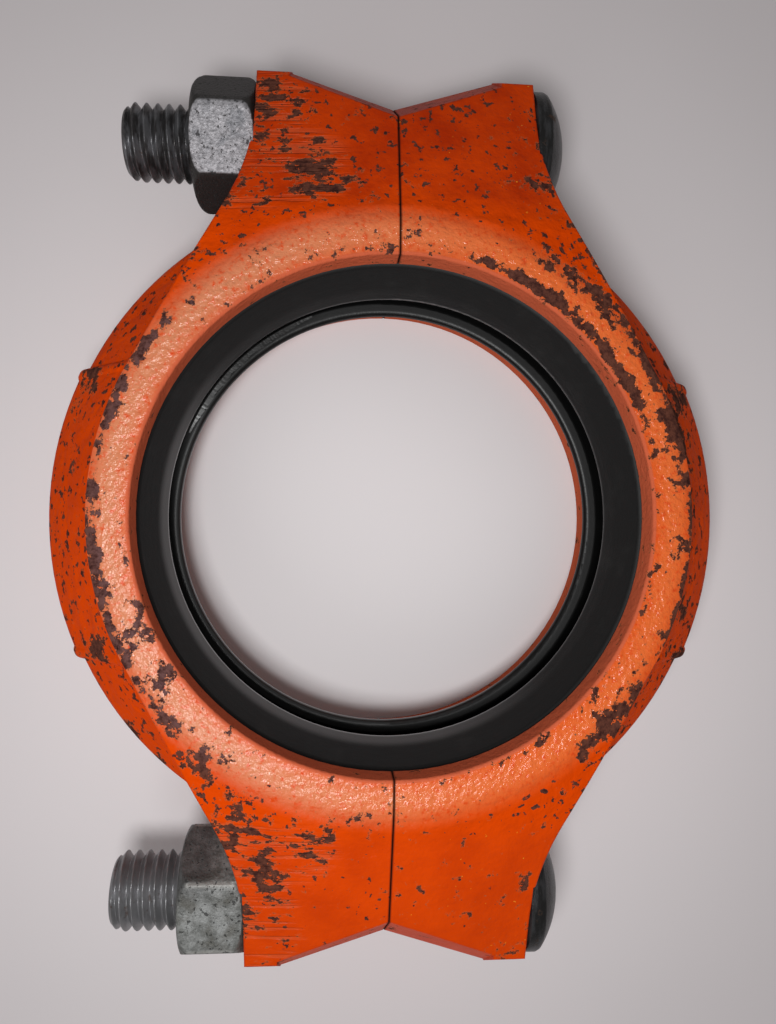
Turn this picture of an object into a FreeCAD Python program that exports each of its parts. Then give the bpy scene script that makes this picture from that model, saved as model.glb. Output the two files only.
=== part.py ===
import FreeCAD, Part
import os
from math import cos, radians, sin, sqrt, tan

# Flexible coupling for grooved pipe, 3-1/2 inch nominal. Lengths are in millimetres.
# The bore runs along Z, the bolts along X, and the two halves meet on the plane X = 0.
# The origin is the middle of the bore, halfway between the two keyed faces.

# Pipe and keys
groove_d = 97.4
key_clearance = 0.4
overall_width = 47.8
key_width = 6.5
key_front_round = 0.5
key_back_round = 1.0

# Ring of the housing
pocket_depth = 11.9
pocket_back_width = 23.0
pocket_mouth_step = 1.9
pocket_round = 4.4
crown_wall = 8.1
crown_half_width = 4.8
crown_round = 4.5
flank_root_z = 17.6
shoulder_width = 7.9

# Raised band on the back of each half, with a bead along each of its two ends
band_half_length = 29.5
band_rise = 0.9
band_end_round = 1.8
bead_length = 3.0
bead_rise = 0.5
bead_round = 1.3

# Front and back faces: a flat ring round the bore, then a slope down to the pad tips
face_flat_width = 4.9
face_blend = 8.0
face_slope = 19.0

# Bolt pads
bolt_step = 9.8
pad_thickness = 28.5
cheek_angle = 27.2
cheek_bend = 48.0
seat_r = 17.0
notch_step = 9.4
notch_slope = 17.5
notch_draft = 30.0
nose_step = 16.5
nose_draft = 29.0
nose_width = 6.8
tip_round = 2.5

# Casting: how round its outer edges and those at the seam are, and how far one form starts inside another
edge_round = 0.6
seam_round = 0.3
overlap = 2.0

# Bolts: 5/8-11 thread, 3-1/4 inch, with an oval neck under a domed head
thread_d = 15.56
bolt_length = 84.6
bolt_end_chamfer = 1.3
body_d = 14.2
thread_length = 38.0
neck_width = 16.2
neck_reach = 19.4
neck_length = 7.0
head_d = 27.0
head_height = 8.4
head_rim = 3.2
hole_clearance = 0.25
neck_clearance = 0.3
recess_depth = 7.6

# Nuts
nut_flats = 24.2
nut_height = 13.4
nut_chamfer_d = 23.0
nut_chamfer_angle = 30.0
top_nut_turn = 16.0
bottom_nut_turn = 3.5
running_clearance = 0.05

# Gasket
gasket_clearance = 0.3
gasket_side_clearance = 0.4
gasket_back_round = 4.2
heel_clearance = 0.5
heel_step = 0.5
heel_round = 1.3
heel_wall = 6.2
back_wall = 4.5
lip_reach = 4.4
lip_drop = 10.9
lip_thickness = 3.2
lip_undercut = 0.4
lip_round = 1.2
hollow_taper = 0.8
hollow_round = 3.0
hollow_mouth_round = 1.0

# Worked out from the sizes above
key_r = groove_d / 2 + key_clearance
half_width = overall_width / 2
key_inner_z = half_width - key_width
pocket_mouth_r = key_r + pocket_mouth_step
pocket_r = key_r + pocket_depth
shoulder_r = key_r + shoulder_width
crown_r = pocket_r + crown_wall
face_flat_r = key_r + face_flat_width
bolt_offset = crown_r + bolt_step
notch_y = bolt_offset + notch_step
nose_y = bolt_offset + nose_step
gasket_r = pocket_r - gasket_clearance
heel_r = key_r + heel_step
heel_z = key_inner_z - heel_clearance
lip_r = key_r - lip_reach
lip_z = heel_z - lip_drop
hollow_half_width = heel_z - heel_wall
hole_r = thread_d / 2 + hole_clearance
thread_start = pad_thickness - bolt_length + thread_length
far = 3 * nose_y
slope_rise = tan(radians(face_slope))


def vec(x, y, z):
    return FreeCAD.Vector(x, y, z)


def corner_arc(before, corner, after, radius):
    """Start, middle and end of the arc of this radius that rounds a corner."""
    a = (before - corner).normalize()
    b = (after - corner).normalize()
    half = a.getAngle(b) / 2
    centre_line = (a + b).normalize()
    centre = corner + centre_line * (radius / sin(half))
    reach = radius / tan(half)
    return corner + a * reach, centre - centre_line * radius, corner + b * reach


def rounded_face(corners):
    """A flat face through corners, each a point and the radius that rounds it."""
    edges = []
    arcs = []
    count = len(corners)
    for i in range(count):
        point, radius = corners[i]
        if radius:
            before = corners[i - 1][0]
            after = corners[(i + 1) % count][0]
            arcs.append(corner_arc(before, point, after, radius))
        else:
            arcs.append((point, None, point))
    for i in range(count):
        start, middle, end = arcs[i]
        if middle:
            edges.append(Part.Arc(start, middle, end).toShape())
        following = arcs[(i + 1) % count][0]
        if end.distanceToPoint(following) > 1e-6:
            edges.append(Part.makeLine(end, following))
    return Part.Face(Part.Wire(edges))


def ring(half_profile):
    """Turn a profile about Z: radius, height and corner round for z above 0, then its mirror image."""
    upper = [(vec(r, 0, z), rnd) for r, z, rnd in half_profile]
    lower = [(vec(r, 0, -z), rnd) for r, z, rnd in reversed(half_profile)]
    return rounded_face(upper + lower).revolve(vec(0, 0, 0), vec(0, 0, 1), 360)


def block(x0, x1, y0, y1, z0, z1):
    return Part.makeBox(x1 - x0, y1 - y0, z1 - z0, vec(x0, y0, z0))


def mirrored(shape, x, y):
    return shape.mirror(vec(0, 0, 0), vec(x, y, 0))


def ring_body():
    """The plain ring: shoulders on both faces and sloping flanks up to the crown."""
    profile = [(0.0, half_width, 0), (shoulder_r, half_width, edge_round)]
    profile.append((shoulder_r, flank_root_z, 0))
    profile.append((crown_r, crown_half_width, crown_round))
    return ring(profile)


def raised_stretch(rise, start, end, end_round):
    """Flanks and crown raised by this much between two heights along Y, its ends rounded."""
    root_r = shoulder_r - overlap
    root_z = flank_root_z + rise + overlap
    raised = ring([(0.0, root_z, 0), (root_r, root_z, 0), (crown_r + rise, crown_half_width, crown_round)])
    raised = raised.common(block(0, far, start, end, -half_width, half_width))

    def on_end(edge):
        box = edge.BoundBox
        middle = edge.CenterOfMass
        flat = box.YLength < 1e-3 and min(abs(box.YMax - start), abs(box.YMax - end)) < 1e-3
        return flat and middle.x ** 2 + middle.y ** 2 > root_r ** 2

    return rounded_edges(raised, end_round, on_end)


def raised_band():
    """The fuller back of a half, with a low bead along each end."""
    reach = band_half_length
    band = raised_stretch(band_rise, -reach, reach, band_end_round)
    bead = raised_stretch(band_rise + bead_rise, reach - bead_length, reach, bead_round)
    return band.fuse([bead, mirrored(bead, 0, 1)])


def cheek_plan():
    """One half seen along the bore: straight cheeks that leave the shoulders, and the bolt pads."""
    a = radians(cheek_angle)
    touch = vec(shoulder_r * cos(a), shoulder_r * sin(a), 0)
    bend = vec(pad_thickness, (shoulder_r - pad_thickness * cos(a)) / sin(a), 0)
    top = vec(pad_thickness, far, 0)
    start, middle, end = corner_arc(touch, bend, top, cheek_bend)
    side = [Part.makeLine(vec(0, far, 0), top), Part.makeLine(top, end),
            Part.Arc(end, middle, start).toShape(), Part.makeLine(start, touch)]
    other_side = [edge.mirror(vec(0, 0, 0), vec(0, 1, 0)) for edge in side]
    back = Part.makeLine(touch, vec(touch.x, -touch.y, 0))
    seam = Part.makeLine(vec(0, far, 0), vec(0, -far, 0))
    wire = Part.Wire(Part.__sortEdges__(side + [back] + other_side + [seam]))
    return Part.Face(wire).extrude(vec(0, 0, overall_width)).translated(vec(0, 0, -half_width))


def face_envelope():
    """A turned solid whose two ends are the front and back faces of a housing."""
    bend_r = face_flat_r + face_blend * tan(radians(face_slope / 2))
    edge_r = bend_r + half_width / slope_rise
    upper = [(vec(0, 0, half_width), 0), (vec(bend_r, 0, half_width), face_blend)]
    lower = [(vec(bend_r, 0, -half_width), face_blend), (vec(0, 0, -half_width), 0)]
    outline = upper + [(vec(edge_r, 0, 0), 0)] + lower
    return rounded_face(outline).revolve(vec(0, 0, 0), vec(0, 0, 1), 360)


def wedge(top, draft):
    """A long bar under a rounded ridge that runs along X at this height, with drafted sides."""
    peak = top + tip_round * (1 / cos(radians(draft)) - 1)
    reach = far / tan(radians(draft))
    corners = [(vec(0, peak, 0), tip_round), (vec(0, peak - far, reach), 0), (vec(0, peak - far, -reach), 0)]
    return rounded_face(corners).extrude(vec(2 * far, 0, 0)).translated(vec(-far, 0, 0))


def pad_end():
    """What the end of a bolt pad may fill: the noses, joined by the notch that falls to the seam."""
    notch = wedge(notch_y * cos(radians(notch_slope)), notch_draft)
    notch.rotate(vec(0, 0, 0), vec(0, 0, 1), notch_slope)
    nose = block(pad_thickness - nose_width, far, -far, far, -far, far)
    return wedge(nose_y, nose_draft).common(notch.fuse(nose))


def oval_prism(width, reach, depth):
    """A prism along X from X = 0: round ends of this width, this far across in Z."""
    r = width / 2
    shift = (reach - width) / 2
    sides = [Part.makeLine(vec(0, r, -shift), vec(0, r, shift)),
             Part.Arc(vec(0, r, shift), vec(0, 0, shift + r), vec(0, -r, shift)).toShape(),
             Part.makeLine(vec(0, -r, shift), vec(0, -r, -shift)),
             Part.Arc(vec(0, -r, -shift), vec(0, 0, -shift - r), vec(0, r, -shift)).toShape()]
    return Part.Face(Part.Wire(sides)).extrude(vec(depth, 0, 0))


def rod(radius, x0, x1):
    return Part.makeCylinder(radius, x1 - x0, vec(x0, 0, 0), vec(1, 0, 0))


def bolt_cuts():
    """Seat for a head or nut, through hole and oval neck recess, about the X axis."""
    recess_width = neck_width + 2 * neck_clearance
    recess_reach = neck_reach + 2 * neck_clearance
    recess = oval_prism(recess_width, recess_reach, 2 * recess_depth)
    recess.translate(vec(pad_thickness - recess_depth, 0, 0))
    return rod(seat_r, pad_thickness, far).fuse([rod(hole_r, -far, far), recess])


def bore_cut():
    """The key bores and the gasket pocket between them."""
    profile = [(0.0, overall_width, 0), (key_r, overall_width, 0), (key_r, key_inner_z, 0)]
    profile.append((pocket_mouth_r, key_inner_z, 0))
    profile.append((pocket_r, pocket_back_width / 2, pocket_round))
    return ring(profile)


def on_circle(edge, radius, z):
    """Whether an edge lies on the circle of this radius about Z at this height on either side."""
    curve = edge.Curve
    if not isinstance(curve, Part.Circle):
        return False
    level = abs(abs(curve.Center.z) - z) < 1e-3
    return level and abs(curve.Radius - radius) < 1e-3 and abs(abs(curve.Axis.z) - 1) < 1e-6


def on_seam(edge):
    """Whether an edge lies where a half meets the other one, on a face or in a key bore."""
    box = edge.BoundBox
    flat = box.XLength < 1e-3 and abs(box.XMin) < 1e-3
    return flat and abs(edge.CenterOfMass.z) > key_inner_z


def rounded_edges(shape, radius, chosen):
    edges = [edge for edge in shape.Edges if chosen(edge)]
    return shape.makeFillet(radius, edges)


def cheeks_and_pads():
    """Both cheeks with their bolt pads, the outer edges of their sloping faces rounded."""
    upper = pad_end()
    body = cheek_plan().common(face_envelope()).common(upper.common(mirrored(upper, 0, 1)))
    flat_end = face_flat_r + face_blend * tan(radians(face_slope / 2))

    def on_rim(edge):
        span = edge.LastParameter - edge.FirstParameter
        for share in (0.1, 0.5, 0.9):
            point = edge.valueAt(edge.FirstParameter + share * span)
            r = sqrt(point.x ** 2 + point.y ** 2)
            face_z = half_width - (r - flat_end) * slope_rise
            if r < shoulder_r or point.x < 1e-3 or abs(abs(point.z) - face_z) > 1e-2:
                return False
        return True

    return rounded_edges(body, edge_round, on_rim)


def half_housing():
    """The half with its back towards +X."""
    body = ring_body().common(block(0, far, -far, far, -half_width, half_width))
    body = body.common(face_envelope()).fuse(cheeks_and_pads()).fuse(raised_band())
    cuts = bolt_cuts().translated(vec(0, bolt_offset, 0))
    body = body.cut([bore_cut(), cuts, mirrored(cuts, 0, 1)]).removeSplitter()
    body = rounded_edges(body, key_front_round, lambda e: on_circle(e, key_r, half_width))
    body = rounded_edges(body, key_back_round, lambda e: on_circle(e, key_r, key_inner_z))
    return rounded_edges(body, seam_round, on_seam)


def gasket():
    """C-shaped ring with two lips that lean inwards and a hollow behind them."""
    inner_face_r = lip_r + lip_thickness
    profile = [(gasket_r, pocket_back_width / 2 - gasket_side_clearance, gasket_back_round)]
    profile.append((heel_r, heel_z, heel_round))
    profile.append((lip_r, lip_z, lip_round))
    profile.append((inner_face_r, lip_z - lip_undercut, lip_round / 2))
    profile.append((heel_r + lip_thickness, hollow_half_width, hollow_mouth_round))
    profile.append((gasket_r - back_wall, hollow_half_width - hollow_taper, hollow_round))
    upper = [(vec(r, 0, z), rnd) for r, z, rnd in profile]
    lower = [(vec(r, 0, -z), rnd) for r, z, rnd in reversed(profile)]
    return rounded_face(upper + lower).revolve(vec(0, 0, 0), vec(0, 0, 1), 360)


def turned_x(points):
    """Turn a profile of (x, radius) points about the X axis."""
    corners = [(vec(x, r, 0), 0) for x, r in points]
    return rounded_face(corners).revolve(vec(0, 0, 0), vec(1, 0, 0), 360)


def bolt():
    """Track-head bolt along X: threaded end at -X, head at +X."""
    end = pad_thickness - bolt_length
    r = thread_d / 2
    thread = turned_x([(end, 0), (end, r - bolt_end_chamfer), (end + bolt_end_chamfer, r),
                       (thread_start, r), (thread_start, 0)])
    neck_start = pad_thickness - neck_length
    body = rod(body_d / 2, thread_start, neck_start)
    neck = oval_prism(neck_width, neck_reach, neck_length).translated(vec(neck_start, 0, 0))
    rim = rod(head_d / 2, pad_thickness, pad_thickness + head_rim)
    rise = head_height - head_rim
    dome_r = ((head_d / 2) ** 2 + rise ** 2) / (2 * rise)
    dome = Part.makeSphere(dome_r, vec(pad_thickness + head_height - dome_r, 0, 0))
    limit = rod(head_d / 2, pad_thickness + head_rim, pad_thickness + 2 * head_height)
    return thread.fuse([body, neck, rim, dome.common(limit)]).removeSplitter()


def nut(turn):
    """Hexagon nut about the X axis, outer face towards -X."""
    face = -pad_thickness - nut_height
    corner = nut_flats / sqrt(3)
    points = [vec(face, corner * cos(radians(60 * i)), corner * sin(radians(60 * i))) for i in range(7)]
    prism = Part.Face(Part.makePolygon(points)).extrude(vec(nut_height, 0, 0))
    run = (corner - nut_chamfer_d / 2) * tan(radians(nut_chamfer_angle))
    limit = turned_x([(face, 0), (face, nut_chamfer_d / 2), (face + run, corner),
                      (-pad_thickness - run, corner), (-pad_thickness, nut_chamfer_d / 2), (-pad_thickness, 0)])
    solid = prism.common(limit).cut(rod(thread_d / 2 + running_clearance, -far, far))
    solid.rotate(vec(0, 0, 0), vec(1, 0, 0), turn)
    return solid


def write(shape, name):
    shape.exportStep("parts/" + name + ".step")


os.makedirs("parts", exist_ok=True)
right = half_housing()
top = vec(0, bolt_offset, 0)
bottom = vec(0, -bolt_offset, 0)
write(right, "right_housing")
write(mirrored(right, 1, 0), "left_housing")
write(gasket(), "gasket")
write(bolt().translated(top), "top_bolt")
write(bolt().translated(bottom), "bottom_bolt")
write(nut(top_nut_turn).translated(top), "top_nut")
write(nut(bottom_nut_turn).translated(bottom), "bottom_nut")
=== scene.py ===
from math import cos, pi, radians, sin, sqrt

import bpy
from mathutils import Matrix, Vector, noise


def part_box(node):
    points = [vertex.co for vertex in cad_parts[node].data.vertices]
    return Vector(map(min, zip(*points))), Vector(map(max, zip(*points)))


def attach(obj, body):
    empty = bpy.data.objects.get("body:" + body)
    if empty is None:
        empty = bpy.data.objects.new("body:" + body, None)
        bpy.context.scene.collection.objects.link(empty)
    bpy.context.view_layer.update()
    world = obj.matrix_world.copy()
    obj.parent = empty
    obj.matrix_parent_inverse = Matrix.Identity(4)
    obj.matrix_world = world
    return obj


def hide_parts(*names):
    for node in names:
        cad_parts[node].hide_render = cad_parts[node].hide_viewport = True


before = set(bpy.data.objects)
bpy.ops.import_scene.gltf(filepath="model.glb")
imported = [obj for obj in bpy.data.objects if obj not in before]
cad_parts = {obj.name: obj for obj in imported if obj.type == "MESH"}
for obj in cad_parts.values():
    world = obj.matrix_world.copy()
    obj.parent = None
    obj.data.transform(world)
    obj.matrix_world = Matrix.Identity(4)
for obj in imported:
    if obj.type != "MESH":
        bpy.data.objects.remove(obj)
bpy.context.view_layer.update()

MM = 0.001

# Places and sizes read from the solids
bolt_low, bolt_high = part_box("top_bolt")
nut_low, nut_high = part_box("top_nut")
SEAT_X = -nut_high.x
BOLT_Y = (bolt_low.y + bolt_high.y) / 2
BOLT_LENGTH = SEAT_X - bolt_low.x
HEAD_R = (bolt_high.y - bolt_low.y) / 2
HEAD_HEIGHT = bolt_high.x - SEAT_X
NUT_HEIGHT = nut_high.x - nut_low.x
FLOOR_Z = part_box("right_housing")[0].z

# Thread: the slope says how fast its flanks fall within one turn, the crest how wide the top is
THREAD_R = 7.78 * MM
THREAD_DEPTH = 1.25 * MM
THREAD_SLOPE = 2.35
THREAD_CREST = 0.09
PITCH = 25.4 * MM / 11
THREAD_LENGTH = 38.0 * MM
ROWS_PER_PITCH = 16
END_CHAMFER = 1.3 * MM
END_CENTRE_R = 2.0 * MM

# Bolt body, oval neck and domed head
BODY_R = 7.1 * MM
NECK_LENGTH = 7.0 * MM
NECK_HALF_WIDTH = 8.1 * MM
NECK_SHIFT = 1.6 * MM
HEAD_RIM = 3.2 * MM
SEAT_EDGE = 0.6 * MM
SEAT_EDGE_HEIGHT = 0.5 * MM
RIM_EDGE = 0.3 * MM
RIM_EDGE_HEIGHT = 0.4 * MM
DOME_ROWS = 14
DOME_SWEEP = radians(88)
TURN_STEPS = 96

# Nuts
NUT_APOTHEM = 12.1 * MM
NUT_CORNER_R = 13.72 * MM
NUT_FACE_R = 10.6 * MM
NUT_BORE_R = 7.83 * MM
NUT_MOUTH_R = 8.7 * MM
NUT_MOUTH_DEPTH = 1.0 * MM
NUT_END_ROUND = 2.7 * MM
NUT_END_ROWS = 10
NUT_TURNS = {"top_nut": radians(16), "bottom_nut": radians(3.5)}
UNSHADED_FLAT = radians(90)
SIXTH = radians(60)

# Edges sharper than this stay sharp in the shading
SHARP_EDGE = radians(32)
NUT_SHARP_EDGE = radians(24)

# Gasket lip and the moulding flash that hangs on it
LIP_R = 44.7 * MM
LIP_Z = 5.6 * MM
FLASH_FROM = radians(112)
FLASH_TO = radians(158)
FLASH_STEPS = 220
FLASH_DEPTH = 1.5 * MM
FLASH_FOOT = 0.3 * MM
FLASH_TIP_DROP = 0.1 * MM
FLASH_THICKNESS = 0.5 * MM
FLASH_FADE = 6
RAGGED_FINE = 0.35
RAGGED_COARSE = 0.06

# Places on the castings
KEY_R = 49.1 * MM
SHOULDER_MIDDLE_R = 53.0 * MM
SHOULDER_REACH = 7.0 * MM
SHOULDER_R = 57.0 * MM
BAND_END_Y = 28.5 * MM
PAD_FROM = 56 * MM
PAD_TO = 64 * MM

# Where rust has eaten the paint most, in millimetres: place in X and Y, and how far it reaches
RUST_SPOTS = [
    (53, 22, 10), (57, 15, 8), (56, 8, 6), (55, -5, 5), (42, -39, 8), (36, -44, 5), (-49, -22, 5),
    (-44, -31, 6), (-35, -46, 7), (37, 58, 8), (42, 48, 7), (-60, 26, 5), (60, 25, 7),
    (-58, -26, 6), (60, -18, 5), (62, -29, 5), (-53, -44, 5), (-47, -51, 5),
]
BARE_SPOTS = [(54, 17, 9), (50, 30, 6)]
PAD_SPOTS = [
    (-14, 66, 14), (-30, -58, 12), (-25, -68, 10), (-14, -62, 13), (-31, -80, 9), (28, 80, 11),
    (31, 66, 10), (27, -86, 8), (26, -72, 5), (-30, 82, 12),
]

# Rusty stretches of the ring: side, radius, two angles from the X axis in degrees, and how far they reach
RUST_ARCS = [
    (1, 57.0, 14, 62, 3.8), (1, 51.2, 24, 74, 2.4), (1, 56.5, -52, -34, 4.5),
    (-1, 56.5, -44, 6, 4.0), (-1, 56.0, 14, 40, 2.6), (1, 57.0, -24, 8, 2.0),
]

# Where the left pads were ground, besides their outer parts
GROUND_SPOTS = [(-19, 66, 13), (-19, -61, 12)]

# How much easier rust comes in each of these places
RING_EASE = 0.20
BARE_EASE = 0.12
PAD_EASE = 0.095
EDGE_EASE = 0.07
GROUND_EASE_BELOW = 0.035
GROUND_EASE_ABOVE = 0.07
REGION_EASE = 0.05
SPECK_EASE = 0.055

# Colours of the castings
PAINT = (0.60, 0.050, 0.0004, 1)
# Deep tone of the mottle, also used as the painted shade of the upper side
PAINT_DEEP_AND_SHADE = (0.36, 0.020, 0.0003, 1)
# Painted sheen of the shoulders, left and right; the left colour also lightens the ground scratch lines
SHEEN_AND_SCRATCH_LEFT = (0.56, 0.20, 0.095, 1)
PAINTED_SHEEN_RIGHT = (0.72, 0.17, 0.032, 1)
KEY_PINK = (0.50, 0.10, 0.044, 1)
# Colour of the painted glints on the right pads
PAINTED_GLINT = (0.72, 0.27, 0.02, 1)
RUST = (0.036, 0.013, 0.011, 1)
RUST_LIGHT = (0.105, 0.037, 0.024, 1)
RUST_MAUVE = (0.125, 0.062, 0.060, 1)
RUST_HALO = (0.40, 0.15, 0.060, 1)
SEAM_PAINTED_SHADE = (0.012, 0.006, 0.005, 1)

# Colours of the gasket and the bolts
RUBBER = (0.0035, 0.0035, 0.0035, 1)
RUBBER_DUST = (0.0095, 0.0095, 0.0093, 1)
STEEL_DARK = (0.045, 0.042, 0.042, 1)
STEEL_BRIGHT = (0.17, 0.17, 0.18, 1)
STEEL_LOWER = (0.30, 0.30, 0.31, 1)
HEAD_PAINTED_SHADE = (0.008, 0.008, 0.008, 1)
STEEL_BROWN = (0.08, 0.045, 0.03, 1)

# Colours of the nuts
ZINC_CLEAN = (0.40, 0.39, 0.41, 1)
ZINC_GREY = (0.17, 0.165, 0.175, 1)
ZINC_SMUDGE = (0.13, 0.135, 0.15, 1)
ZINC_PAINTED_SHADE = (0.022, 0.020, 0.019, 1)
ZINC_GREEN = (0.24, 0.245, 0.24, 1)
ZINC_GREEN_DARK = (0.095, 0.098, 0.092, 1)
ZINC_STAIN = (0.075, 0.07, 0.058, 1)
ZINC_SHADE = (0.03, 0.03, 0.032, 1)
ZINC_EDGE = (0.38, 0.37, 0.35, 1)
PIT_DARK = (0.03, 0.03, 0.03, 1)

# Floor and light
# Paper colours in the middle and at the far edges: a painted pool of light
PAPER_POOL_OF_LIGHT = (0.78, 0.745, 0.755, 1)
PAPER_PAINTED_FALLOFF = (0.62, 0.58, 0.59, 1)
FLOOR_HALF = 1.5
FLOOR_GAP = 0.05 * MM
SKY_COLOUR = (1.0, 0.99, 0.98, 1)
SKY_STRENGTH = 0.28
KEY_LIGHT = {"place": (-0.034, -0.036, 0.21), "size": 0.055, "power": 0.36}
FILL_LIGHT = {"place": (-0.25, -0.45, 0.60), "size": 0.40, "power": 0.8}

# Camera of the photo, fitted to the rims of the bore
IMAGE_HEIGHT = 1024
FOCAL_PIXELS = 796.56
SENSOR = 36.0
CLIP_START = 0.01
CAMERA_PLACE = Vector((-12.76, -1.37, 171.86)) * MM
CAMERA_YAW = 0.0741
CAMERA_PITCH = -0.0143
CAMERA_ROLL = -0.0118


class Surface:
    """A material being built: its node tree, with short ways to add the nodes it needs."""

    def __init__(self, slot, metallic=0.0):
        self.material = bpy.data.materials.new(slot + "_look")
        self.material.use_nodes = True
        self.tree = self.material.node_tree
        self.shader = self.tree.nodes["Principled BSDF"]
        self.set("Metallic", metallic)
        self.point = self.add("ShaderNodeTexCoord").outputs["Object"]
        parts = self.add("ShaderNodeSeparateXYZ")
        self.tree.links.new(self.point, parts.inputs[0])
        self.x, self.y, self.z = parts.outputs

    def add(self, kind, **settings):
        node = self.tree.nodes.new(kind)
        for name, value in settings.items():
            setattr(node, name, value)
        return node

    def feed(self, socket, value):
        """Link a socket to another node's output, or set it to a value."""
        if isinstance(value, bpy.types.NodeSocket):
            self.tree.links.new(value, socket)
        else:
            socket.default_value = value

    def set(self, name, value):
        """Give one of the shader's own sockets a value or a link."""
        self.feed(self.shader.inputs[name], value)

    def math(self, operation, a, b=0.0, c=0.0):
        node = self.add("ShaderNodeMath", operation=operation)
        for socket, value in zip(node.inputs, (a, b, c)):
            self.feed(socket, value)
        return node.outputs[0]

    def plus(self, a, b):
        return self.math("ADD", a, b)

    def minus(self, a, b):
        return self.math("SUBTRACT", a, b)

    def both(self, a, b):
        return self.math("MULTIPLY", a, b)

    def either(self, a, b):
        return self.math("MAXIMUM", a, b)

    def outside(self, mask):
        """The rest of the surface, where a mask is 0."""
        return self.minus(1.0, mask)

    def length(self, a, b):
        """Distance from zero of a point given by two coordinates."""
        return self.math("SQRT", self.plus(self.both(a, a), self.both(b, b)))

    def vector(self, operation, a, b, result="Vector"):
        node = self.add("ShaderNodeVectorMath", operation=operation)
        self.feed(node.inputs[0], a)
        self.feed(node.inputs[1], b)
        return node.outputs[result]

    def step(self, value, low, high):
        """0 below low and 1 above high, or the other way round if low is the larger."""
        node = self.add("ShaderNodeMapRange", interpolation_type="SMOOTHSTEP")
        self.feed(node.inputs["Value"], value)
        node.inputs["From Min"].default_value = low
        node.inputs["From Max"].default_value = high
        return node.outputs[0]

    def near(self, value, centre, reach):
        """1 at the centre value, falling to 0 at this distance from it."""
        away = self.math("ABSOLUTE", self.minus(value, centre))
        return self.step(away, reach, 0.0)

    def noise(self, size, detail=3.0, rough=0.5, stretch=None, seed=0.0):
        """Noise with features about this size in metres. stretch scales the point on each axis."""
        node = self.add("ShaderNodeTexNoise", noise_dimensions="4D")
        node.inputs["W"].default_value = seed
        node.inputs["Scale"].default_value = 1 / size
        node.inputs["Detail"].default_value = detail
        node.inputs["Roughness"].default_value = rough
        point = self.vector("MULTIPLY", self.point, stretch) if stretch else self.point
        self.tree.links.new(point, node.inputs["Vector"])
        return node.outputs["Fac"]

    def spots(self, places):
        """The strongest of several spots: 1 at a place given in X and Y, 0 at the edge of its reach."""
        flat = self.vector("MULTIPLY", self.point, (1, 1, 0))
        strongest = None
        for x, y, reach in places:
            away = self.vector("DISTANCE", flat, (x * MM, y * MM, 0), "Value")
            spot = self.math("MULTIPLY_ADD", away, -1 / (reach * MM), 1.0)
            strongest = self.either(strongest, spot) if strongest else spot
        return self.step(strongest, 0.0, 1.0)

    def arcs(self, places):
        """The strongest of several stretches of a ring, given as in RUST_ARCS."""
        radius = self.length(self.x, self.y)
        angles = {side: self.math("ARCTAN2", self.y, self.both(self.x, side)) for side in (1, -1)}
        strongest = None
        for side, middle_r, start, end, reach in places:
            middle = radians((start + end) / 2)
            half = radians((end - start) / 2)
            off = self.math("ABSOLUTE", self.minus(angles[side], middle))
            along = self.step(off, half + radians(6), half - radians(3))
            arc = self.both(along, self.near(radius, middle_r * MM, reach * MM))
            strongest = self.either(strongest, arc) if strongest else arc
        return strongest

    def mix(self, factor, a, b, **settings):
        node = self.add("ShaderNodeMix", **settings)
        self.feed(node.inputs["Factor"], factor)
        self.feed(node.inputs["A"], a)
        self.feed(node.inputs["B"], b)
        return node.outputs["Result"]

    def blend(self, factor, a, b):
        """From colour a to colour b."""
        return self.mix(factor, a, b, data_type="RGBA")

    def level(self, factor, a, b):
        """From number a to number b."""
        return self.mix(factor, a, b)

    def bump(self, height, depth):
        node = self.add("ShaderNodeBump")
        node.inputs["Distance"].default_value = depth
        self.feed(node.inputs["Height"], height)
        return node.outputs[0]

    def finish(self, colour, roughness, normal=None):
        self.set("Base Color", colour)
        self.set("Roughness", roughness)
        if normal:
            self.set("Normal", normal)
        return self.material


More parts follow.
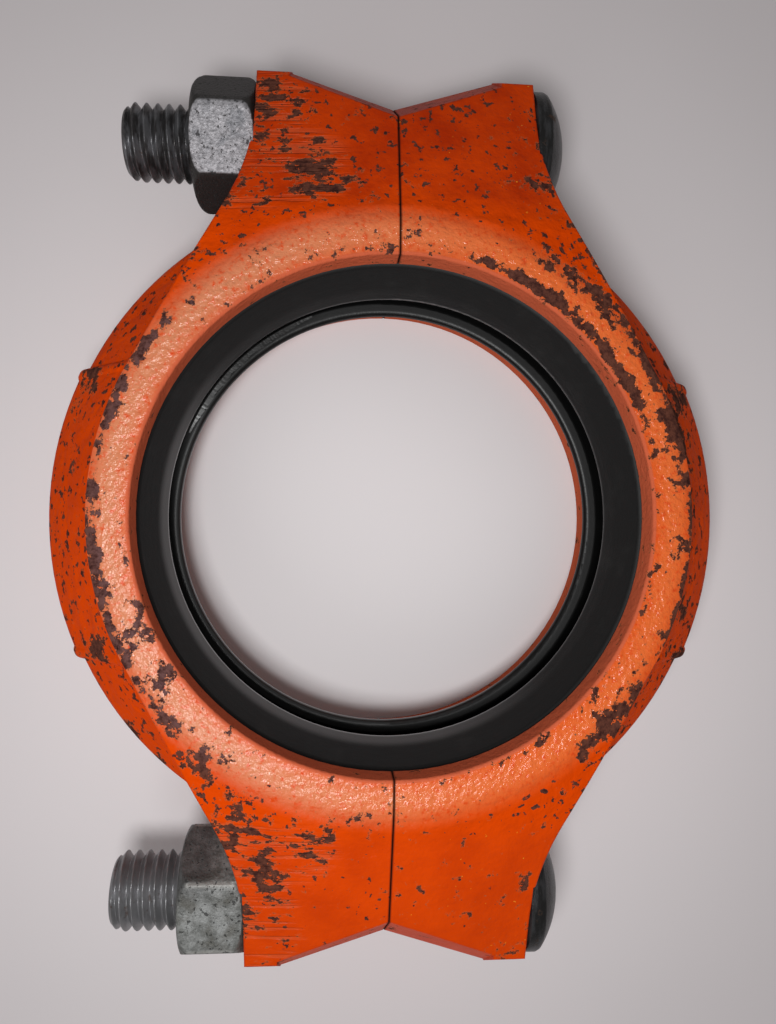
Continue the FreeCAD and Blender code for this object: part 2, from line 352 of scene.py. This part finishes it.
class Casting(Surface):
    """The castings' surface, with a mask for each place that looks different."""

    def __init__(self, slot):
        super().__init__(slot)
        self.r = self.length(self.x, self.y)
        self.height = self.math("ABSOLUTE", self.z)
        self.side_y = self.math("ABSOLUTE", self.y)
        self.left = self.step(self.x, 0.4 * MM, -0.4 * MM)
        self.leftwards = self.step(self.x, 35 * MM, -35 * MM)
        self.top = self.step(self.y, 0.0, 1 * MM)
        self.pad = self.step(self.side_y, PAD_FROM, PAD_TO)
        self.seam = self.near(self.x, 0.0, 0.5 * MM)
        high = self.step(self.height, 18 * MM, 22 * MM)
        self.shoulder = self.both(self.near(self.r, SHOULDER_MIDDLE_R, SHOULDER_REACH), high)
        beyond = self.step(self.r, SHOULDER_R, SHOULDER_R + 2 * MM)
        self.flank = self.both(beyond, self.outside(self.pad))
        inner = self.step(self.r, KEY_R + 0.8 * MM, KEY_R + 0.4 * MM)
        self.key = self.both(inner, self.step(self.height, 15 * MM, 16 * MM))

        wavy_x = self.plus(self.x, self.both(self.noise(6 * MM, 3.0, 0.6, seed=13.0), 12 * MM))
        ground = self.either(self.spots(GROUND_SPOTS), self.step(wavy_x, -10 * MM, -20 * MM))
        self.ground = self.step(self.both(self.both(self.pad, self.left), ground), 0.0, 0.3)
        lines = self.noise(0.9 * MM, 2.0, 0.5, stretch=(0.05, 1.0, 0.3), seed=5.0)
        self.ground_lines = self.both(self.step(lines, 0.50, 0.62), self.ground)

    def paint(self):
        """Colour of the paint: mottled, a painted shade on the upper side, a painted sheen on the shoulders,
        painted glints on the right pads, pink on the keys, scratched where ground.
        """
        mottle = self.step(self.noise(11 * MM, 4.0, 0.6), 0.32, 0.72)
        plain = self.outside(self.either(self.shoulder, self.both(self.flank, 0.7)))
        mottle_place = self.both(plain, self.level(self.top, 0.4, 0.9))
        colour = self.blend(self.both(mottle, mottle_place), PAINT, PAINT_DEEP_AND_SHADE)
        # Painted shade: the upper side darker, over mottling that is also stronger towards the top
        painted_shade_top = self.step(self.y, 52 * MM, 80 * MM)
        colour = self.blend(self.both(painted_shade_top, 0.3), colour, PAINT_DEEP_AND_SHADE)

        # Painted sheen: pale glints over the shoulders, stronger on the left
        sheen_noise = self.step(self.noise(1.2 * MM, 4.0, 0.65, seed=3.0), 0.28, 0.52)
        sheen_place = self.both(self.shoulder, self.level(self.leftwards, 0.6, 0.95))
        sheen_colour = self.blend(self.leftwards, PAINTED_SHEEN_RIGHT, SHEEN_AND_SCRATCH_LEFT)
        colour = self.blend(self.both(sheen_noise, sheen_place), colour, sheen_colour)
        colour = self.blend(self.key, colour, KEY_PINK)

        # Painted glints: small bright flecks on the right pads
        glint_noise = self.step(self.noise(0.9 * MM, 2.0, 0.5, seed=12.0), 0.72, 0.75)
        glint_place = self.both(self.pad, self.outside(self.left))
        colour = self.blend(self.both(glint_noise, glint_place), colour, PAINTED_GLINT)
        # Ground scratch lines, lightened with the left sheen colour
        return self.blend(self.both(self.ground_lines, 0.14), colour, SHEEN_AND_SCRATCH_LEFT)

    def decay(self):
        """How far the paint has gone: noise, raised where the photo shows much rust."""
        rim_height = self.step(self.height, 20 * MM, 23 * MM)
        rim = self.both(self.near(self.r, KEY_R + 1.2 * MM, 1.5 * MM), rim_height)
        band = self.step(self.r, 62 * MM, 64 * MM)
        band_end = self.both(self.near(self.side_y, BAND_END_Y, 3.0 * MM), band)
        arcs = self.both(self.arcs(RUST_ARCS), self.step(self.height, 14 * MM, 19 * MM))
        regions = self.step(self.noise(17 * MM, 2.0, 0.5, seed=11.0), 0.38, 0.62)

        ease = self.both(self.either(arcs, self.spots(RUST_SPOTS)), RING_EASE)
        ease = self.plus(ease, self.both(self.spots(BARE_SPOTS), BARE_EASE))
        ease = self.either(ease, self.both(self.spots(PAD_SPOTS), PAD_EASE))
        ease = self.plus(ease, self.both(self.either(rim, band_end), EDGE_EASE))
        ground_ease = self.level(self.top, GROUND_EASE_BELOW, GROUND_EASE_ABOVE)
        ease = self.plus(ease, self.both(self.ground, ground_ease))
        ease = self.plus(ease, self.both(regions, REGION_EASE))

        round_noise = self.noise(2.8 * MM, 6.0, 0.70, seed=1.0)
        drawn_noise = self.noise(2.2 * MM, 6.0, 0.70, stretch=(0.5, 1.0, 1.0), seed=9.0)
        return self.plus(self.level(self.ground, round_noise, drawn_noise), ease)

    def specks(self):
        """Small rust specks, most of them on the flanks and the upper pads."""
        upper = self.level(self.top, self.both(self.left, 0.8), 1.7)
        ease = self.both(self.level(self.pad, self.both(self.flank, 2.0), upper), SPECK_EASE)
        return self.step(self.plus(self.noise(1.7 * MM, 4.0, 0.6, seed=8.0), ease), 0.685, 0.705)

    def rust(self):
        """Colour of the rust, lighter and more purple on the left shoulder."""
        place = self.both(self.both(self.shoulder, self.leftwards), self.outside(self.pad))
        light = self.blend(place, RUST_LIGHT, RUST_MAUVE)
        return self.blend(self.step(self.noise(1.1 * MM, 4.0, 0.7, seed=2.0), 0.32, 0.62), RUST, light)

    def relief(self, patches):
        """Height of the surface: orange peel, lumps, sunken rust, ground lines and grain."""
        peel = self.level(self.shoulder, self.level(self.flank, 0.25, 0.3), 0.6)
        height = self.both(self.noise(1.1 * MM, 3.0, 0.55, seed=4.0), peel)
        lumps = self.level(self.flank, 0.42, 1.1)
        height = self.plus(height, self.both(self.noise(5 * MM, 2.0, 0.5, seed=6.0), lumps))
        height = self.minus(height, self.both(patches, 0.16))
        height = self.minus(height, self.both(self.ground_lines, 0.16))
        grain = self.level(patches, 0.05, 0.2)
        return self.plus(height, self.both(self.noise(0.5 * MM, 2.0, 0.5, seed=7.0), grain))


def housing_paint():
    """Orange paint over a rough casting: glossy shoulders with a painted sheen, rust in patches and specks,
    ground left pads, a painted shade along the seam.
    """
    s = Casting("housing_paint")
    decay = s.decay()
    patches = s.step(decay, 0.662, 0.674)
    rusty = s.either(patches, s.specks())
    colour = s.blend(s.both(s.step(decay, 0.630, 0.666), 0.5), s.paint(), RUST_HALO)
    colour = s.blend(rusty, colour, s.rust())
    # Painted shade along the seam between the two halves
    colour = s.blend(s.seam, colour, SEAM_PAINTED_SHADE)

    dull = s.either(s.either(rusty, s.seam), s.key)
    glossy = s.either(s.both(s.shoulder, s.level(s.leftwards, 1.0, 0.8)), s.both(s.pad, 0.1))
    normal = s.bump(s.relief(patches), 0.9 * MM)
    s.set("Specular IOR Level", 0.015)
    s.set("Coat Roughness", 0.2)
    s.set("Coat Weight", s.both(glossy, s.outside(dull)))
    s.set("Coat Normal", normal)
    return s.finish(colour, s.level(dull, 0.5, 0.9), normal)


def gasket_rubber():
    """Dull black rubber with a faint ring pattern from its mould, pale dust in places and a smooth lip."""
    s = Surface("gasket_rubber")
    dust = s.step(s.noise(7 * MM, 5.0, 0.65), 0.5, 0.78)
    colour = s.blend(dust, RUBBER, RUBBER_DUST)
    lip = s.step(s.length(s.x, s.y), 46.8 * MM, 45.8 * MM)
    lower_left = s.step(s.plus(s.x, s.y), 5 * MM, -35 * MM)
    s.set("Specular IOR Level", 0.3)
    s.set("Coat Roughness", 0.28)
    s.set("Coat Weight", s.both(lip, lower_left))
    rings = s.both(s.noise(0.9 * MM, 2.0, 0.5, stretch=(0.3, 0.3, 1.0)), 0.3)
    fine = s.both(s.noise(0.35 * MM, 2.0, 0.5, seed=2.0), 0.25)
    return s.finish(colour, s.level(lip, 0.6, 0.35), s.bump(s.plus(rings, fine), 0.12 * MM))


def bolt_steel():
    """Dark dull zinc with brighter streaks and a few brown marks, lighter on the lower thread, with a painted
    shade on the heads.
    """
    s = Surface("bolt_steel", 0.7)
    streak = s.noise(1.4 * MM, 4.0, 0.6, stretch=(1.0, 0.25, 0.25))
    colour = s.blend(s.step(streak, 0.42, 0.62), STEEL_DARK, STEEL_BRIGHT)
    lower_thread = s.both(s.step(s.y, 1 * MM, -1 * MM), s.step(s.x, 0.0, -20 * MM))
    colour = s.blend(s.both(lower_thread, 0.6), colour, STEEL_LOWER)
    # Painted shade: the bolt heads darkened
    head = s.step(s.x, 20 * MM, 26 * MM)
    colour = s.blend(s.both(head, 0.75), colour, HEAD_PAINTED_SHADE)
    brown = s.step(s.noise(2.6 * MM, 5.0, 0.7, seed=3.0), 0.6, 0.68)
    colour = s.blend(s.both(brown, 0.7), colour, STEEL_BROWN)
    grain = s.noise(0.3 * MM, 3.0, 0.6, seed=1.0)
    return s.finish(colour, s.level(brown, 0.38, 0.7), s.bump(grain, 0.10 * MM))


def upper_nut_colour(s):
    """Zinc with grey smudges on one flat; every other face gets a painted shade."""
    grey = s.step(s.noise(0.8 * MM, 4.0, 0.7), 0.34, 0.66)
    flat_zinc = s.blend(grey, ZINC_CLEAN, ZINC_GREY)
    smudge = s.step(s.noise(4.5 * MM, 3.0, 0.6, seed=5.0), 0.50, 0.64)
    flat_zinc = s.blend(s.both(smudge, 0.55), flat_zinc, ZINC_SMUDGE)
    tilt = NUT_TURNS["top_nut"] + UNSHADED_FLAT
    outward = s.plus(s.both(s.minus(s.y, BOLT_Y), cos(tilt)), s.both(s.z, sin(tilt)))
    flat = s.step(outward, NUT_APOTHEM - 0.35 * MM, NUT_APOTHEM - 0.05 * MM)
    # Painted shade on every face but the one flat
    return s.blend(flat, ZINC_PAINTED_SHADE, flat_zinc)


def lower_nut_colour(s):
    """Grey-green zinc with stains, a painted shade on the side towards the middle and pale worn corners."""
    mottle = s.step(s.noise(2.2 * MM, 6.0, 0.7, seed=6.0), 0.34, 0.64)
    colour = s.blend(mottle, ZINC_GREEN, ZINC_GREEN_DARK)
    stain = s.step(s.noise(5 * MM, 4.0, 0.6, seed=4.0), 0.48, 0.66)
    colour = s.blend(s.both(stain, 0.7), colour, ZINC_STAIN)
    # Painted shade on the side of the nut towards the middle of the coupling
    painted_shade_place = s.both(s.step(s.y, -78 * MM, -72 * MM), s.step(s.x, -33 * MM, -37 * MM))
    colour = s.blend(s.both(painted_shade_place, 0.6), colour, ZINC_SHADE)
    reach = s.length(s.plus(s.y, BOLT_Y), s.z)
    edge = s.step(reach, NUT_CORNER_R - 0.22 * MM, NUT_CORNER_R - 0.03 * MM)
    return s.blend(s.both(edge, 0.5), colour, ZINC_EDGE)


def nut_zinc():
    """Hot-dip zinc with pits, one colour for the upper nut and one for the lower."""
    s = Surface("nut_zinc", 0.35)
    colour = s.blend(s.step(s.y, -1 * MM, 1 * MM), lower_nut_colour(s), upper_nut_colour(s))
    pits = s.step(s.noise(0.75 * MM, 3.0, 0.6, seed=2.0), 0.60, 0.66)
    colour = s.blend(s.both(pits, 0.8), colour, PIT_DARK)
    relief = s.minus(s.noise(0.5 * MM, 3.0, 0.6, seed=6.0), s.both(pits, 0.8))
    return s.finish(colour, s.level(pits, 0.5, 0.8), s.bump(relief, 0.2 * MM))


def floor_paper():
    """White paper with a painted pool of light: darker towards its far edges."""
    s = Surface("floor_paper")
    away = s.plus(s.length(s.x, s.y), s.both(s.noise(90 * MM, 3.0, 0.5), 20 * MM))
    s.set("Specular IOR Level", 0.0)
    return s.finish(s.blend(s.step(away, 20 * MM, 170 * MM), PAPER_POOL_OF_LIGHT, PAPER_PAINTED_FALLOFF), 0.9)


def piece(name, vertices, faces, slot, body, replaced=None, sharp=SHARP_EDGE):
    """A mesh from its points and faces, given the look of a slot and a body to ride on."""
    mesh = bpy.data.meshes.new(name)
    mesh.from_pydata(vertices, [], faces)
    mesh.validate()
    mesh.materials.append(looks[slot])
    mesh.shade_smooth()
    mesh.set_sharp_from_angle(angle=sharp)
    made = bpy.data.objects.new(name, mesh)
    bpy.context.scene.collection.objects.link(made)
    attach(made, body)
    if replaced:
        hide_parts(replaced)


def lathe(rows, centre_y, steps=TURN_STEPS):
    """Skin over rows along X. A row is (x, radius) with the radius a number or a function of the angle."""
    vertices = []
    faces = []
    for x, radius in rows:
        for i in range(steps):
            angle = 2 * pi * i / steps
            r = radius(angle) if callable(radius) else radius
            vertices.append((x, centre_y + r * cos(angle), r * sin(angle)))
    for row in range(len(rows) - 1):
        for i in range(steps):
            following = (i + 1) % steps
            a = row * steps
            b = a + steps
            faces.append((b + i, b + following, a + following, a + i))
    faces.append(tuple(range(steps)))
    faces.append(tuple(reversed(range((len(rows) - 1) * steps, len(rows) * steps))))
    return vertices, faces


def thread_row(x, end):
    """Radius of the thread as a function of the angle, at this place along the bolt."""
    limit = THREAD_R - END_CHAMFER + (x - end)

    def radius(angle):
        phase = (x / PITCH - angle / (2 * pi)) % 1.0
        groove = min(1.0, max(0.0, THREAD_SLOPE * abs(phase - 0.5) - THREAD_CREST))
        return min(limit, THREAD_R - THREAD_DEPTH * groove)

    return radius


def oval(angle):
    """Radius of the neck's oval outline: round ends that are shifted along Z."""
    y = cos(angle)
    z = abs(sin(angle))
    if z < 1e-9:
        return NECK_HALF_WIDTH
    reach = NECK_SHIFT * z + sqrt(NECK_HALF_WIDTH ** 2 - (NECK_SHIFT * y) ** 2)
    side = NECK_HALF_WIDTH / abs(y) if abs(y) > 1e-9 else reach
    return side if side * z < NECK_SHIFT else reach


def bolt(name, centre_y):
    """Threaded end, body, oval neck and domed head in one skin."""
    end = SEAT_X - BOLT_LENGTH
    count = round(THREAD_LENGTH / PITCH * ROWS_PER_PITCH)
    rows = [(end, END_CENTRE_R), (end, THREAD_R - END_CHAMFER - THREAD_DEPTH)]
    for i in range(count + 1):
        x = end + THREAD_LENGTH * i / count
        rows.append((x, thread_row(x, end)))
    rows.append((end + THREAD_LENGTH, BODY_R))
    rows.append((SEAT_X - NECK_LENGTH, BODY_R))
    rows.append((SEAT_X - NECK_LENGTH, oval))
    rows.append((SEAT_X, oval))
    rows.append((SEAT_X, HEAD_R - SEAT_EDGE))
    rows.append((SEAT_X + SEAT_EDGE_HEIGHT, HEAD_R))
    rows.append((SEAT_X + HEAD_RIM - RIM_EDGE_HEIGHT, HEAD_R))
    rise = HEAD_HEIGHT - HEAD_RIM
    dome_r = (HEAD_R ** 2 + rise ** 2) / (2 * rise)
    for i in range(DOME_ROWS):
        r = (HEAD_R - RIM_EDGE) * cos(i / (DOME_ROWS - 1) * DOME_SWEEP)
        rows.append((SEAT_X + HEAD_HEIGHT - dome_r + sqrt(dome_r ** 2 - r ** 2), r))
    vertices, faces = lathe(rows, centre_y)
    piece(name, vertices, faces, "bolt_steel", "right_half", name.replace("_detail", ""))


def nut(name, centre_y):
    """Hexagon nut with worn corners and both ends well rounded."""
    body = name.replace("_detail", "")
    turn = NUT_TURNS[body]
    outer = -SEAT_X - NUT_HEIGHT

    def outline(share):
        limit = NUT_FACE_R + (NUT_CORNER_R - NUT_FACE_R) * sin(share * pi / 2)

        def radius(angle):
            around = (angle - turn) % SIXTH - SIXTH / 2
            return min(NUT_APOTHEM / cos(around), limit)

        return radius

    shares = [i / NUT_END_ROWS for i in range(NUT_END_ROWS + 1)]
    rows = [(outer + NUT_MOUTH_DEPTH, NUT_BORE_R), (outer, NUT_MOUTH_R)]
    for share in shares:
        rows.append((outer + NUT_END_ROUND * (1 - cos(share * pi / 2)), outline(share)))
    for share in reversed(shares):
        rows.append((-SEAT_X - NUT_END_ROUND * (1 - cos(share * pi / 2)), outline(share)))
    rows += [(-SEAT_X, NUT_MOUTH_R), (-SEAT_X - NUT_MOUTH_DEPTH, NUT_BORE_R)]
    vertices, faces = lathe(rows, centre_y)
    piece(name, vertices, faces[:-2], "nut_zinc", body, body, NUT_SHARP_EDGE)


def lip_flash():
    """A ragged fin of rubber that the mould left along part of the front lip."""
    vertices = []
    faces = []
    foot = LIP_R + FLASH_FOOT
    for i in range(FLASH_STEPS + 1):
        angle = FLASH_FROM + (FLASH_TO - FLASH_FROM) * i / FLASH_STEPS
        fade = min(1.0, FLASH_FADE * min(i, FLASH_STEPS - i) / FLASH_STEPS)
        ragged = 0.5 + 0.5 * noise.noise(Vector((i * RAGGED_FINE, 0.0, 4.0)))
        ragged *= 0.55 + 0.45 * noise.noise(Vector((i * RAGGED_COARSE, 7.0, 0.0)))
        tip = LIP_R - FLASH_DEPTH * fade * (0.15 + ragged)
        for r, z in ((foot, LIP_Z), (tip, LIP_Z - FLASH_TIP_DROP), (foot, LIP_Z - FLASH_THICKNESS)):
            vertices.append((r * cos(angle), r * sin(angle), z))
    for i in range(FLASH_STEPS):
        a = 3 * i
        for j in range(3):
            k = (j + 1) % 3
            faces.append((a + j, a + k, a + 3 + k, a + 3 + j))
    piece("lip_flash", vertices, faces, "gasket_rubber", "left_half")


def add_camera():
    camera = bpy.data.cameras.new("photo_camera")
    camera.sensor_width = SENSOR
    camera.lens = FOCAL_PIXELS * SENSOR / IMAGE_HEIGHT
    camera.clip_start = CLIP_START
    holder = bpy.data.objects.new("photo_camera", camera)
    bpy.context.scene.collection.objects.link(holder)
    yaw = Matrix.Rotation(CAMERA_YAW, 3, "Y")
    pitch = Matrix.Rotation(CAMERA_PITCH, 3, "X")
    roll = Matrix.Rotation(CAMERA_ROLL, 3, "Z")
    turn = (roll @ pitch @ yaw).transposed().to_4x4()
    holder.matrix_world = Matrix.Translation(CAMERA_PLACE) @ turn
    bpy.context.scene.camera = holder


def add_light(name, place, size, power):
    """A round lamp that points at the middle of the part."""
    lamp = bpy.data.lights.new(name, "AREA")
    lamp.shape = "DISK"
    lamp.size = size
    lamp.energy = power
    holder = bpy.data.objects.new(name, lamp)
    holder.location = place
    holder.rotation_euler = (-Vector(place)).to_track_quat("-Z", "Y").to_euler()
    bpy.context.scene.collection.objects.link(holder)


def add_floor(material):
    half = FLOOR_HALF
    z = FLOOR_Z - FLOOR_GAP
    corners = [(-half, -half, z), (half, -half, z), (half, half, z), (-half, half, z)]
    mesh = bpy.data.meshes.new("floor")
    mesh.from_pydata(corners, [], [(0, 1, 2, 3)])
    mesh.materials.append(material)
    floor = bpy.data.objects.new("floor", mesh)
    bpy.context.scene.collection.objects.link(floor)


def add_studio():
    world = bpy.data.worlds.new("studio")
    world.use_nodes = True
    sky = world.node_tree.nodes["Background"]
    sky.inputs["Color"].default_value = SKY_COLOUR
    sky.inputs["Strength"].default_value = SKY_STRENGTH
    bpy.context.scene.world = world
    add_light("key_light", **KEY_LIGHT)
    add_light("fill_light", **FILL_LIGHT)
    add_floor(floor_paper())
    bpy.context.scene.view_settings.view_transform = "Standard"


# The castings and the gasket are shown as they are, with a look each
looks = {
    "housing_paint": housing_paint(),
    "gasket_rubber": gasket_rubber(),
    "bolt_steel": bolt_steel(),
    "nut_zinc": nut_zinc(),
}
dressed = {"left_housing": "housing_paint", "right_housing": "housing_paint", "gasket": "gasket_rubber"}
for node_name, slot_name in dressed.items():
    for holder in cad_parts[node_name].material_slots:
        holder.link = "OBJECT"
        holder.material = looks[slot_name]

# The bolts and nuts are replaced by pieces with threads and worn corners
bolt("top_bolt_detail", BOLT_Y)
bolt("bottom_bolt_detail", -BOLT_Y)
nut("top_nut_detail", BOLT_Y)
nut("bottom_nut_detail", -BOLT_Y)
lip_flash()
add_camera()
add_studio()
